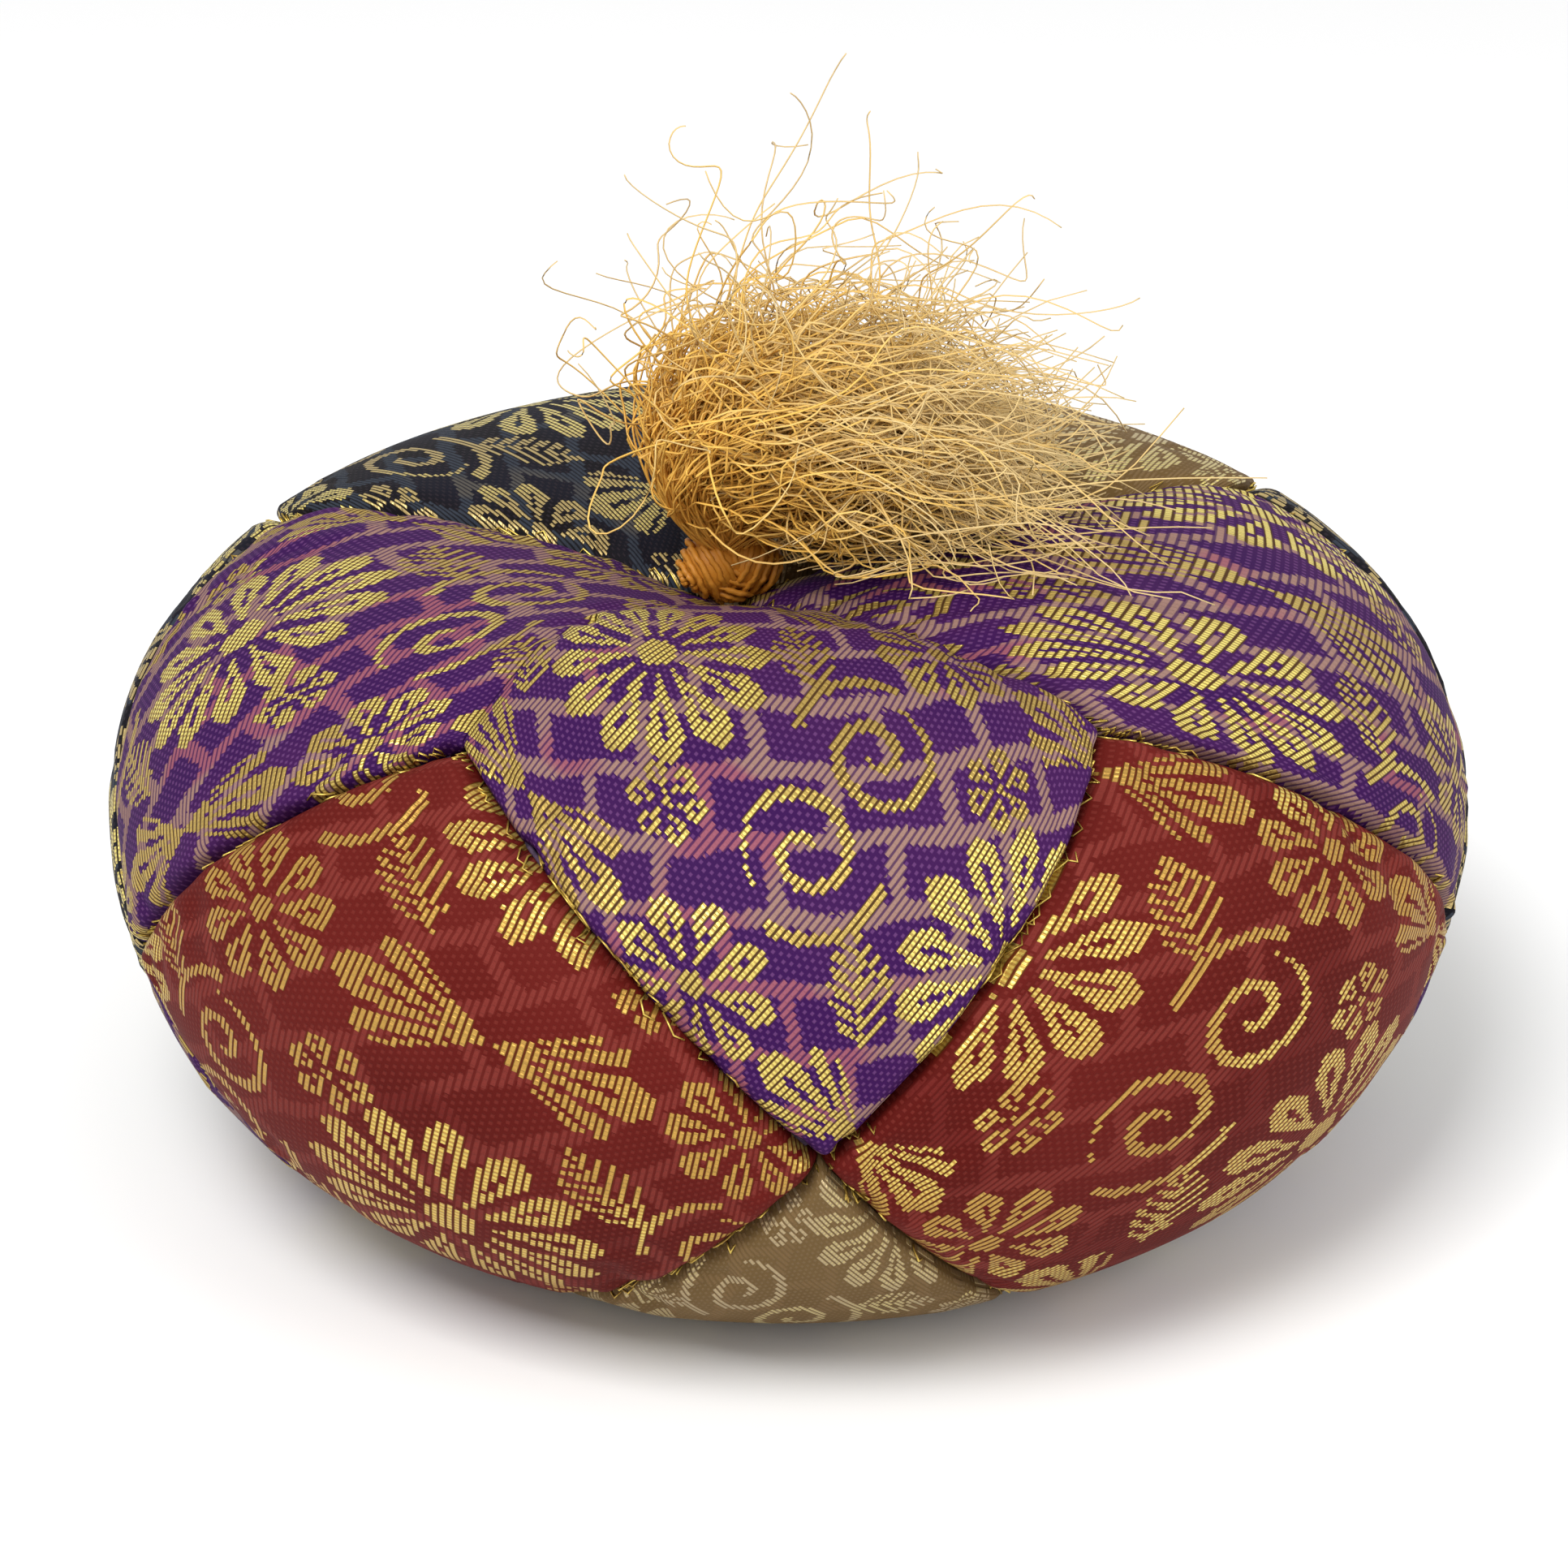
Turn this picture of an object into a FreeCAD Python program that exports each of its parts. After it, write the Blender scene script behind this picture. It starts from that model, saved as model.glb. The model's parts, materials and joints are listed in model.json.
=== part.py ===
"""Pin cushion: fifteen squares of brocade sewn into a ball, stuffed, tied flat through the middle and
finished with a floss tassel.

Five top squares meet at the tie, five side squares stand on their corners round the waist, and five base
squares close the ball below.  The row frame is in millimetres with +Z up.  The origin is on the table under
the middle of the cushion, -Y is the front and the tassel leans towards +X.
"""

import FreeCAD, Part
import math
import os
import Sketcher
from FreeCAD import Rotation, Vector

DIMENSIONS = {
    # the stuffed ball
    "cushion_radius": 42.5,
    "top_shoulder": 17.0,
    "base_shoulder": 23.4,
    "base_sag": 0.8,
    "cloth": 0.5,
    "seam_allowance": 5.0,
    # the tie that pulls the middle in, and its hollows
    "tie_x": -3.75,
    "tie_y": -1.0,
    "tie_radius": 0.6,
    "tie_clearance": 0.09,
    "top_dimple_radius": 21.0,
    "top_dimple_depth": 3.6,
    "base_dimple_radius": 12.0,
    "base_dimple_depth": 3.0,
    "base_knot_radius": 1.1,
    "base_knot_rise": 1.23,
    "tie_end_gap": 0.3,
    # the corners where the squares meet
    "waist_drop": 3.8,
    "corner_radius": 32.0,
    "base_corner_radius": 25.5,
    "corner_shift": 0.5,
    # the sewing thread that runs along each seam, between the hems
    "thread_radius": 0.15,
    "thread_depth": 1.8,
    # the tassel
    "lean": 15.0,
    "head_height": 38.6,
    "lobe_spread": 1.0,
    "lobe_radius": 1.9,
    "head_bore_top": 39.5,
    "pivot_height": 42.5,
    "neck_radius": 1.3,
    "neck_drop": 1.0,
    "binding_radius": 1.5,
    "binding_thread": 0.26,
    "binding_first": -0.4,
    "binding_pitch": 0.525,
    "skirt_length": 35.0,
    "skirt_width": 10.4,
    "skirt_end_radius": 1.6,
    "skirt_reach": 14.5,
    "skirt_height": 3.9,
    "skirt_droop": 5.0,
}
SQUARES = 5
BINDING_TURNS = 3
QUARTER_TURN = 90
SIDES = ("front", "right", "back_right", "back_left", "left")
GAPS = ("front_right", "right_rear", "back", "left_rear", "front_left")
# Wisps that stand out of the skirt: foot x, foot z, tip x, tip z from the pivot, all along the lean.
WISPS = ((2.0, 5.5, 8.5, 26.0), (1.0, 5.5, -3.5, 22.5), (6.0, 6.0, 16.0, 21.0))
WISP_FOOT_RADIUS, WISP_TIP_RADIUS = 2.4, 0.8
FAR = 2.4  # how far past a corner a wedge reaches, as a multiple of the corner's distance
CORNER_GAP, POLE_GAP = 0.04, 0.12  # how far a thread stops short of its seam's ends, as a share of the seam

doc = FreeCAD.newDocument("pin_cushion")
dims = doc.addObject("Spreadsheet::Sheet", "dims")
for row, (alias, value) in enumerate(DIMENSIONS.items(), start=1):
    dims.set(f"A{row}", alias)
    dims.set(f"B{row}", str(value))
    dims.setAlias(f"B{row}", alias)
doc.recompute()


def cell(alias):
    """The value that the sheet holds under this alias."""
    return float(dims.get(alias))


def bind(thing, **expressions):
    """Binds each property of a document object to an expression of the sheet's cells."""
    for name, expression in expressions.items():
        thing.setExpression(name.replace("__", "."), expression)
    return thing


def place(thing, x="0", y="0", z="0"):
    """Binds the place of a document object to expressions of the sheet's cells."""
    for axis, expression in (("x", x), ("y", y), ("z", z)):
        thing.setExpression(f"Placement.Base.{axis}", expression)
    return thing


def leaning(thing, x, z):
    """Places an object in the tassel's upright plane: x along the lean from the tie, z in the row frame."""
    return place(thing, f"dims.tie_x + ({x}) * cos(dims.lean)", f"dims.tie_y + ({x}) * sin(dims.lean)", z)


def boolean(kind, name, shapes):
    """A Part boolean: MultiFuse and MultiCommon take a list, Cut takes a base and a tool."""
    made = doc.addObject(f"Part::{kind}", name)
    if kind == "Cut":
        made.Base, made.Tool = shapes
    else:
        made.Shapes = list(shapes)
    return made


# ---- the stuffed form, at three depths under its outer face -----------------------------------------


def outline_sketch(body, name):
    sketch = body.newObject("Sketcher::SketchObject", name)
    plane = next(f for f in body.Origin.OriginFeatures if f.Role == "XZ_Plane")
    sketch.AttachmentSupport = [(plane, "")]
    sketch.MapMode = "FlatFace"
    return sketch


def join_ends(sketch, count, axis_line):
    """Closes a chain of edges end to start, and lays the edge axis_line on the sketch's vertical axis."""
    for first in range(count):
        sketch.addConstraint(Sketcher.Constraint("Coincident", first, 2, (first + 1) % count, 1))
    sketch.addConstraint(Sketcher.Constraint("PointOnObject", axis_line, 1, -2))
    sketch.addConstraint(Sketcher.Constraint("PointOnObject", axis_line, 2, -2))


def size(sketch, kind, *where, expression):
    """Adds a dimension to a sketch and binds it to an expression."""
    index = sketch.addConstraint(Sketcher.Constraint(kind, *where))
    sketch.setExpression(f"Constraints[{index}]", expression)


def revolve(body, sketch, name):
    turned = body.newObject("PartDesign::Revolution", name)
    turned.Profile = sketch
    turned.ReferenceAxis = (sketch, ["V_Axis"])
    turned.Angle = 360.0
    return turned


def ball(name, depth):
    """The ball without its dimples, at a depth under the outer face: a flat base, two shoulder arcs and a top."""
    under = cell(depth) if depth else 0.0
    less = f" - dims.{depth}" if depth else ""
    radius, top, base = cell("cushion_radius"), cell("top_shoulder"), cell("base_shoulder")
    waist = base - cell("base_sag")
    flat = math.sqrt((base - under) ** 2 - (waist - under) ** 2)
    body = doc.addObject("PartDesign::Body", name)
    sketch = outline_sketch(body, f"{name}_outline")
    point = Vector
    base_end = point(radius - base + flat, under, 0)
    top_end = point(radius - top, waist + top - under, 0)
    base_arc = Part.Circle(point(radius - base, waist, 0), Vector(0, 0, 1), base - under)
    top_arc = Part.Circle(point(radius - top, waist, 0), Vector(0, 0, 1), top - under)
    start = -math.atan2(waist - under, flat)
    sketch.addGeometry(
        [
            Part.LineSegment(point(0, top_end.y, 0), point(0, under, 0)),
            Part.LineSegment(point(0, under, 0), base_end),
            Part.ArcOfCircle(base_arc, start, 0),
            Part.ArcOfCircle(top_arc, 0, math.pi / 2),
            Part.LineSegment(top_end, point(0, top_end.y, 0)),
        ],
        False,
    )
    join_ends(sketch, 5, 0)
    sketch.addConstraint(Sketcher.Constraint("Horizontal", 1))
    sketch.addConstraint(Sketcher.Constraint("Horizontal", 4))
    waist_height = "(dims.base_shoulder - dims.base_sag)"
    size(sketch, "DistanceY", -1, 1, 1, 1, under, expression=f"0{less.replace('-', '+')}")
    size(sketch, "Radius", 2, base - under, expression=f"dims.base_shoulder{less}")
    size(sketch, "Radius", 3, top - under, expression=f"dims.top_shoulder{less}")
    size(sketch, "DistanceY", -1, 1, 2, 3, waist, expression=waist_height)
    size(sketch, "DistanceY", -1, 1, 3, 3, waist, expression=waist_height)
    size(sketch, "DistanceX", -1, 1, 2, 3, radius - base, expression="dims.cushion_radius - dims.base_shoulder")
    sketch.addConstraint(Sketcher.Constraint("Horizontal", 2, 2, 2, 3))
    sketch.addConstraint(Sketcher.Constraint("Vertical", 3, 2, 3, 3))
    revolve(body, sketch, f"{name}_turned")
    return body


def dimple(name, end, depth):
    """What the tie's pull takes off one end of the ball: a hollow whose wall is an arc level with the rim."""
    under = cell(depth) if depth else 0.0
    way = 1.0 if end == "top" else -1.0
    rim, drop = cell(f"{end}_dimple_radius"), cell(f"{end}_dimple_depth")
    bend = (rim**2 + drop**2) / (2 * drop)
    clear = drop + cell("seam_allowance")
    body = doc.addObject("PartDesign::Body", name)
    sketch = outline_sketch(body, f"{name}_outline")
    circle = Part.Circle(Vector(rim, -way * bend, 0), Vector(0, 0, 1), bend)
    top_angle, middle_angle = math.pi / 2, math.pi - math.asin((bend - drop) / bend)
    arc = (top_angle, middle_angle) if way > 0 else (-middle_angle, -top_angle)
    sketch.addGeometry(
        [
            Part.LineSegment(Vector(0, -way * drop, 0), Vector(0, way * clear, 0)),
            Part.LineSegment(Vector(0, way * clear, 0), Vector(rim, way * clear, 0)),
            Part.LineSegment(Vector(rim, way * clear, 0), Vector(rim, 0, 0)),
            Part.ArcOfCircle(circle, *arc),
        ],
        False,
    )
    near, far = (1, 2) if way > 0 else (2, 1)
    for line in range(2):
        sketch.addConstraint(Sketcher.Constraint("Coincident", line, 2, line + 1, 1))
    sketch.addConstraint(Sketcher.Constraint("Coincident", 2, 2, 3, near))
    sketch.addConstraint(Sketcher.Constraint("Coincident", 3, far, 0, 1))
    sketch.addConstraint(Sketcher.Constraint("PointOnObject", 0, 1, -2))
    sketch.addConstraint(Sketcher.Constraint("PointOnObject", 0, 2, -2))
    sketch.addConstraint(Sketcher.Constraint("Horizontal", 1))
    sketch.addConstraint(Sketcher.Constraint("Vertical", 2))
    sketch.addConstraint(Sketcher.Constraint("PointOnObject", 2, 2, -1))
    sketch.addConstraint(Sketcher.Constraint("Vertical", 2, 2, 3, 3))
    size(sketch, "DistanceX", -1, 1, 2, 2, rim, expression=f"dims.{end}_dimple_radius")
    low, high = ((0, 1), (-1, 1)) if way > 0 else ((-1, 1), (0, 1))
    size(sketch, "DistanceY", *low, *high, drop, expression=f"dims.{end}_dimple_depth")
    low, high = ((-1, 1), (0, 2)) if way > 0 else ((0, 2), (-1, 1))
    size(sketch, "DistanceY", *low, *high, clear, expression=f"dims.{end}_dimple_depth + dims.seam_allowance")
    revolve(body, sketch, f"{name}_turned")
    less = f"dims.{depth}" if depth else "0"
    level = "dims.base_shoulder - dims.base_sag + dims.top_shoulder - " + less if way > 0 else less
    return place(body, "dims.tie_x", "dims.tie_y", level)


def tie_rod(name, radius, low, high):
    """An upright round bar on the tie's axis, from one height to another."""
    rod = doc.addObject("Part::Cylinder", name)
    bind(rod, Radius=radius, Height=f"({high}) - ({low})")
    return place(rod, "dims.tie_x", "dims.tie_y", low)


def form(name, depth):
    """The tied ball at a depth under its outer face, with the tie's hole through it."""
    tools = [
        dimple(f"{name}_top_dimple", "top", depth),
        dimple(f"{name}_base_dimple", "base", depth),
        tie_rod(f"{name}_tie_hole", "dims.tie_radius", "0", "2 * dims.cushion_radius"),
    ]
    return boolean("Cut", name, (ball(f"{name}_ball", depth), boolean("MultiFuse", f"{name}_tools", tools)))


outer = form("outer_form", "")
lining = form("lining_form", "cloth")
core = form("core_form", "seam_allowance")
doc.recompute()
cloth_shell = boolean("Cut", "cloth_shell", (outer, lining))
hem_shell = boolean("Cut", "hem_shell", (outer, core))
doc.recompute()


# ---- the corners of the squares, and the wedge of the ball that each square covers ----------------

WAIST = cell("base_shoulder") - cell("base_sag")
CENTRE = Vector(cell("tie_x"), cell("tie_y"), WAIST - cell("waist_drop"))


def on_ball(radius, angle, upper):
    """A point on the ball at a radius from its axis and an angle from the front, above or below the waist."""
    shoulder = cell("top_shoulder") if upper else cell("base_shoulder")
    run = radius - (cell("cushion_radius") - shoulder)
    rise = math.sqrt(shoulder**2 - run**2)
    return Vector(radius * math.sin(angle), -radius * math.cos(angle), WAIST + (rise if upper else -rise))


def corners():
    """The five waist corners, the five upper and lower corners between them, and the two poles."""
    step = 2 * math.pi / SQUARES
    shift = Vector(CENTRE.x, CENTRE.y, 0) * cell("corner_shift")
    fall = cell("base_shoulder")
    waist_radius = cell("cushion_radius") - fall + math.sqrt(fall**2 - cell("waist_drop") ** 2)
    waist = [on_ball(waist_radius, k * step, False) for k in range(SQUARES)]
    upper = [on_ball(cell("corner_radius"), (k + 0.5) * step, True) + shift for k in range(SQUARES)]
    lower = [on_ball(cell("base_corner_radius"), (k + 0.5) * step, False) + shift for k in range(SQUARES)]
    return waist, upper, lower, CENTRE + Vector(0, 0, WAIST), CENTRE - Vector(0, 0, WAIST)


def polyhedron(triangles):
    shell = Part.makeShell([Part.Face(Part.makePolygon([*t, t[0]])) for t in triangles])
    solid = Part.makeSolid(shell)
    return solid if solid.Volume > 0 else solid.reversed()


def wedge(square):
    """All that lies between the centre and one square: a pyramid whose four sides are the seam planes."""
    a, b, c, d = (CENTRE + (corner - CENTRE) * FAR for corner in square)
    sides = [(CENTRE, a, b), (CENTRE, b, c), (CENTRE, c, d), (CENTRE, d, a)]
    return polyhedron([*sides, (a, c, b), (a, d, c)])


def hem_frame(square):
    """The four turned-in hems of one square: cloth-thick plates on the inside of its seam planes."""
    middle = sum(square, Vector()) * 0.25
    plates = []
    for first, second in zip(square, [*square[1:], square[0]]):
        a, b = (CENTRE + (corner - CENTRE) * FAR for corner in (first, second))
        normal = (a - CENTRE).cross(b - CENTRE).normalize()
        if normal.dot(middle - CENTRE) < 0:
            normal = -normal
        face = Part.Face(Part.makePolygon([CENTRE, a, b, CENTRE]))
        plates.append(face.extrude(normal * cell("cloth")))
    return plates[0].fuse(plates[1:]).common(wedge(square))


waist, upper, lower, top_pole, base_pole = corners()
squares = {}
for k in range(SQUARES):
    before, after = (k - 1) % SQUARES, (k + 1) % SQUARES
    squares[f"top_patch_{SIDES[k]}"] = (top_pole, upper[before], waist[k], upper[k])
    squares[f"side_patch_{GAPS[k]}"] = (upper[k], waist[k], lower[k], waist[after])
    squares[f"base_patch_{SIDES[k]}"] = (base_pole, lower[k], waist[k], lower[before])


# ---- the sewing threads -----------------------------------------------------------------------------


def solid_feature(name, shape):
    made = doc.addObject("Part::Feature", name)
    made.Shape = shape
    return made


def surface_along(direction):
    """Where a ray from the centre leaves the ball."""
    ray = Part.makeLine(CENTRE + direction, CENTRE + direction * cell("cushion_radius") * FAR)
    inside = ray.common(outer.Shape)
    return max((vertex.Point for vertex in inside.Vertexes), key=lambda p: p.distanceToPoint(CENTRE))


def seam_thread(first, second, from_pole):
    """The thread of one seam: a fine cord in the seam plane, bent to an arc under the outside."""
    a, b = first - CENTRE, second - CENTRE
    start = POLE_GAP if from_pole else CORNER_GAP
    course = []
    for part_way in (start, (1 + start - CORNER_GAP) / 2, 1 - CORNER_GAP):
        ray = (a * (1 - part_way) + b * part_way).normalize()
        course.append(surface_along(ray) - ray * cell("thread_depth"))
    arc = Part.Arc(*course)
    end = Part.makeCircle(cell("thread_radius"), course[0], arc.tangent(arc.FirstParameter)[0])
    return Part.Wire([arc.toShape()]).makePipe(Part.Face(Part.Wire([end])))


after = {k: (k + 1) % SQUARES for k in range(SQUARES)}
seams = {
    "top_seam_threads": [(top_pole, upper[k]) for k in range(SQUARES)],
    "upper_side_seam_threads": [(upper[k], waist[w]) for k in range(SQUARES) for w in (k, after[k])],
    "lower_side_seam_threads": [(lower[k], waist[w]) for k in range(SQUARES) for w in (k, after[k])],
    "base_seam_threads": [(base_pole, lower[k]) for k in range(SQUARES)],
}


def seam_key(first, second):
    return frozenset(tuple(round(v, 3) for v in corner) for corner in (first, second))


parts = {}
thread_of = {}
for name, lines in seams.items():
    for first, second in lines:
        thread_of[seam_key(first, second)] = seam_thread(first, second, first in (top_pole, base_pole))
    parts[name] = solid_feature(name, Part.makeCompound([thread_of[seam_key(*line)] for line in lines]))


# ---- the fifteen squares ----------------------------------------------------------------------------


def patch(name, square):
    """One square of brocade: its face, and the hems turned in at its four seams, grooved for the threads."""
    face = boolean("MultiCommon", f"{name}_face", (cloth_shell, solid_feature(f"{name}_wedge", wedge(square))))
    frame = solid_feature(f"{name}_frame", hem_frame(square))
    hems = boolean("MultiCommon", f"{name}_hems", (hem_shell, frame))
    whole = boolean("MultiFuse", f"{name}_whole", (face, hems))
    edges = zip(square, [*square[1:], square[0]])
    threads = Part.makeCompound([thread_of[seam_key(*edge)] for edge in edges])
    return boolean("Cut", name, (whole, solid_feature(f"{name}_grooves", threads)))


parts.update({name: patch(name, square) for name, square in squares.items()})
doc.recompute()


# ---- stuffing, tie and base knot --------------------------------------------------------------------

hems = boolean("MultiFuse", "all_hems", [doc.getObject(f"{name}_hems") for name in squares])
parts["stuffing"] = boolean("Cut", "stuffing", (lining, hems))
knot_height = "dims.base_dimple_depth - dims.base_knot_rise"
parts["tie_thread"] = tie_rod(
    "tie_thread", "dims.tie_radius", f"{knot_height} - dims.base_knot_radius", "dims.head_bore_top - dims.tie_end_gap"
)
knot_ball = place(doc.addObject("Part::Sphere", "base_knot_ball"), "dims.tie_x", "dims.tie_y", knot_height)
bind(knot_ball, Radius="dims.base_knot_radius")
knot_hole = tie_rod("base_knot_hole", "dims.tie_radius", "0", "dims.cushion_radius")
parts["base_knot"] = boolean("Cut", "base_knot", (knot_ball, knot_hole))


# ---- the tassel -------------------------------------------------------------------------------------


lobes = []
for side, sign in (("left", -1), ("right", 1)):
    lobe = doc.addObject("Part::Sphere", f"head_lobe_{side}")
    bind(lobe, Radius="dims.lobe_radius")
    leaning(lobe, f"{sign} * dims.lobe_spread", "dims.head_height")
    lobe.Placement.Rotation = Rotation(Vector(0, 0, 1), cell("lean")) * Rotation(Vector(0, 1, 0), QUARTER_TURN)
    lobes.append(lobe)
bore = tie_rod("head_bore", "dims.tie_radius + dims.tie_clearance", "dims.cushion_radius / 2", "dims.head_bore_top")
parts["tassel_head"] = boolean("Cut", "tassel_head", (boolean("MultiFuse", "head_lobes", lobes), bore))

neck = leaning(doc.addObject("Part::Cylinder", "skirt_neck"), "0", "dims.pivot_height - dims.neck_drop")
bind(neck, Radius="dims.neck_radius", Height="dims.neck_drop + dims.skirt_height")


def spindle(name):
    """The bundle of floss: a long bow turned about its chord, laid over along the lean and drooping."""
    length, width, end = cell("skirt_length"), cell("skirt_width"), cell("skirt_end_radius")
    rise = width / 2 - end
    bow = (length**2 / 4 + rise**2) / (2 * rise)
    reach = math.asin(length / 2 / bow)
    body = doc.addObject("PartDesign::Body", name)
    sketch = outline_sketch(body, f"{name}_outline")
    circle = Part.Circle(Vector(width / 2 - bow, 0, 0), Vector(0, 0, 1), bow)
    half = length / 2
    sketch.addGeometry(
        [
            Part.LineSegment(Vector(0, half, 0), Vector(0, -half, 0)),
            Part.LineSegment(Vector(0, -half, 0), Vector(end, -half, 0)),
            Part.ArcOfCircle(circle, -reach, reach),
            Part.LineSegment(Vector(end, half, 0), Vector(0, half, 0)),
        ],
        False,
    )
    join_ends(sketch, 4, 0)
    sketch.addConstraint(Sketcher.Constraint("Horizontal", 1))
    sketch.addConstraint(Sketcher.Constraint("Horizontal", 3))
    sketch.addConstraint(Sketcher.Constraint("PointOnObject", 2, 3, -1))
    size(sketch, "DistanceY", 0, 2, 0, 1, length, expression="dims.skirt_length")
    size(sketch, "DistanceX", 1, 1, 1, 2, end, expression="dims.skirt_end_radius")
    rise_size = "(dims.skirt_width / 2 - dims.skirt_end_radius)"
    bow_size = f"(dims.skirt_length * dims.skirt_length / 4 + {rise_size} * {rise_size}) / {rise_size} / 2"
    size(sketch, "Radius", 2, bow, expression=bow_size)
    revolve(body, sketch, f"{name}_turned")
    leaning(body, "dims.skirt_reach", "dims.pivot_height + dims.skirt_height")
    lay_over = Rotation(Vector(0, 1, 0), QUARTER_TURN + cell("skirt_droop"))
    body.Placement.Rotation = Rotation(Vector(0, 0, 1), cell("lean")) * lay_over
    return body


bundle = spindle("skirt_bundle")
parts["tassel_skirt"] = boolean("MultiFuse", "tassel_skirt", (neck, bundle))

turns = []
for turn in range(BINDING_TURNS):
    ring = doc.addObject("Part::Torus", f"binding_turn_{turn + 1}")
    bind(ring, Radius1="dims.binding_radius", Radius2="dims.binding_thread")
    rise = f"dims.pivot_height + dims.binding_first + {turn} * dims.binding_pitch"
    turns.append(leaning(ring, "0", rise))
binding = boolean("MultiFuse", "binding_rings", turns)
parts["neck_binding"] = boolean("Cut", "neck_binding", (binding, parts["tassel_skirt"]))

wisps = []
for number, (foot_x, foot_z, tip_x, tip_z) in enumerate(WISPS, start=1):
    wisp = doc.addObject("Part::Cone", f"wisp_{number}")
    wisp.Radius1, wisp.Radius2 = WISP_FOOT_RADIUS, WISP_TIP_RADIUS
    wisp.Height = math.hypot(tip_x - foot_x, tip_z - foot_z)
    leaning(wisp, str(foot_x), f"dims.pivot_height + {foot_z}")
    tilt = math.degrees(math.atan2(tip_x - foot_x, tip_z - foot_z))
    wisp.Placement.Rotation = Rotation(Vector(0, 0, 1), cell("lean")) * Rotation(Vector(0, 1, 0), tilt)
    wisps.append(wisp)
parts["stray_strands"] = boolean("Cut", "stray_strands", (boolean("MultiFuse", "wisp_bunch", wisps), bundle))
doc.recompute()


# ---- checks and files -------------------------------------------------------------------------------

failed = [thing.Name for thing in doc.Objects if {"Invalid", "Error"} & set(thing.State)]
if failed:
    raise RuntimeError(f"these did not build: {failed}")
for name, part in parts.items():
    part.Label = name
    if part.Shape.isNull() or not part.Shape.isValid() or not part.Shape.Solids:
        raise RuntimeError(f"{name} has no valid shape")

os.makedirs("parts", exist_ok=True)
for name, part in parts.items():
    part.Shape.exportStep(f"parts/{name}.step")
    print(f"{name}: {len(part.Shape.Solids)} solids, {part.Shape.Volume:.1f} mm3")
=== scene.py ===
"""Pin cushion in sewn brocade with a floss tassel: the looks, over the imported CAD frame."""
import json
import math

import bpy
import numpy as np
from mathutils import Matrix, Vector
from mathutils.bvhtree import BVHTree


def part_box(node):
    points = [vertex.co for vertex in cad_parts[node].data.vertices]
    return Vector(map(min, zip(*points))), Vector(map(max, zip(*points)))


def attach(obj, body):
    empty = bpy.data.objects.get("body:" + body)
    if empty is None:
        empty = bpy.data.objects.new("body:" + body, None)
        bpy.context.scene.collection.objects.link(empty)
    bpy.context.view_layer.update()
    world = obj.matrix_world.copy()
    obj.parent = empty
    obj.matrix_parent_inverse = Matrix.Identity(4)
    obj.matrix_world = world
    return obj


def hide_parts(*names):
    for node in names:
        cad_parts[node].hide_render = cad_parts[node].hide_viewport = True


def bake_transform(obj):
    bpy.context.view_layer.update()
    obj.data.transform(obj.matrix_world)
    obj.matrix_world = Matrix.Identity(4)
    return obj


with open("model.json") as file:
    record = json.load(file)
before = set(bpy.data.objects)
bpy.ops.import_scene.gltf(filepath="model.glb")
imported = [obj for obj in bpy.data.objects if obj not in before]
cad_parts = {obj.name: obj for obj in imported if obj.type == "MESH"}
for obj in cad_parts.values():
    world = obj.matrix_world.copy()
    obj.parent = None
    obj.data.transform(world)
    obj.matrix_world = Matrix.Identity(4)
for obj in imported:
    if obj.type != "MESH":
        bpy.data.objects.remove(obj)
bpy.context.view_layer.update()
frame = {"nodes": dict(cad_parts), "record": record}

MM = 0.001

# The squares, as the CAD lays them out: five at the top, five round the waist, five at the base.
SQUARES = 5
SIDES = ("front", "right", "back_right", "back_left", "left")
GAPS = ("front_right", "right_rear", "back", "left_rear", "front_left")
SIDE_MM = 35.0  # a square's finished side
PINS = 30  # cloth cells along a square's side in the simulation
FINE = 84  # cells along its side in the finished piece

joint_places = {j["name"]: np.array(j["pos_m"]) / MM for j in frame["record"]["behaviour"]["joints"]}
TIE = joint_places["tassel_swivel"]
PIVOT = joint_places["tassel_tilt"]
WAIST_Z = 22.6
WAIST_DROP = 3.8
CORNER_R, BASE_CORNER_R = 32.0, 25.5
CUSHION_R = 42.5
TOP_SHOULDER, BASE_SHOULDER = 17.0, 23.4
CENTRE = np.array([TIE[0], TIE[1], WAIST_Z - WAIST_DROP])


# ---- the cushion's form, read from the CAD ----------------------------------------------------------


def on_ball(radius, angle, upper):
    """A point on the CAD ball, at a radius from its axis and an angle from the front."""
    shoulder = TOP_SHOULDER if upper else BASE_SHOULDER
    run = radius - (CUSHION_R - shoulder)
    rise = math.sqrt(shoulder**2 - run**2)
    z = WAIST_Z + (rise if upper else -rise)
    return np.array([radius * math.sin(angle), -radius * math.cos(angle), z])


def square_corners():
    """Each patch's name and its four corners, in the order that the CAD has them."""
    step = 2 * math.pi / SQUARES
    shift = np.array([TIE[0], TIE[1], 0]) / 2
    waist_r = CUSHION_R - BASE_SHOULDER + math.sqrt(BASE_SHOULDER**2 - WAIST_DROP**2)
    waist = [on_ball(waist_r, k * step, False) for k in range(SQUARES)]
    upper = [on_ball(CORNER_R, (k + 0.5) * step, True) + shift for k in range(SQUARES)]
    lower = [on_ball(BASE_CORNER_R, (k + 0.5) * step, False) + shift for k in range(SQUARES)]
    top = CENTRE + (0, 0, WAIST_Z)
    base = CENTRE - (0, 0, WAIST_Z)
    found = {}
    for k in range(SQUARES):
        before, after = (k - 1) % SQUARES, (k + 1) % SQUARES
        found[f"top_patch_{SIDES[k]}"] = (top, upper[before], waist[k], upper[k])
        found[f"side_patch_{GAPS[k]}"] = (upper[k], waist[k], lower[k], waist[after])
        found[f"base_patch_{SIDES[k]}"] = (base, lower[k], waist[k], lower[before])
    return found


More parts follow.
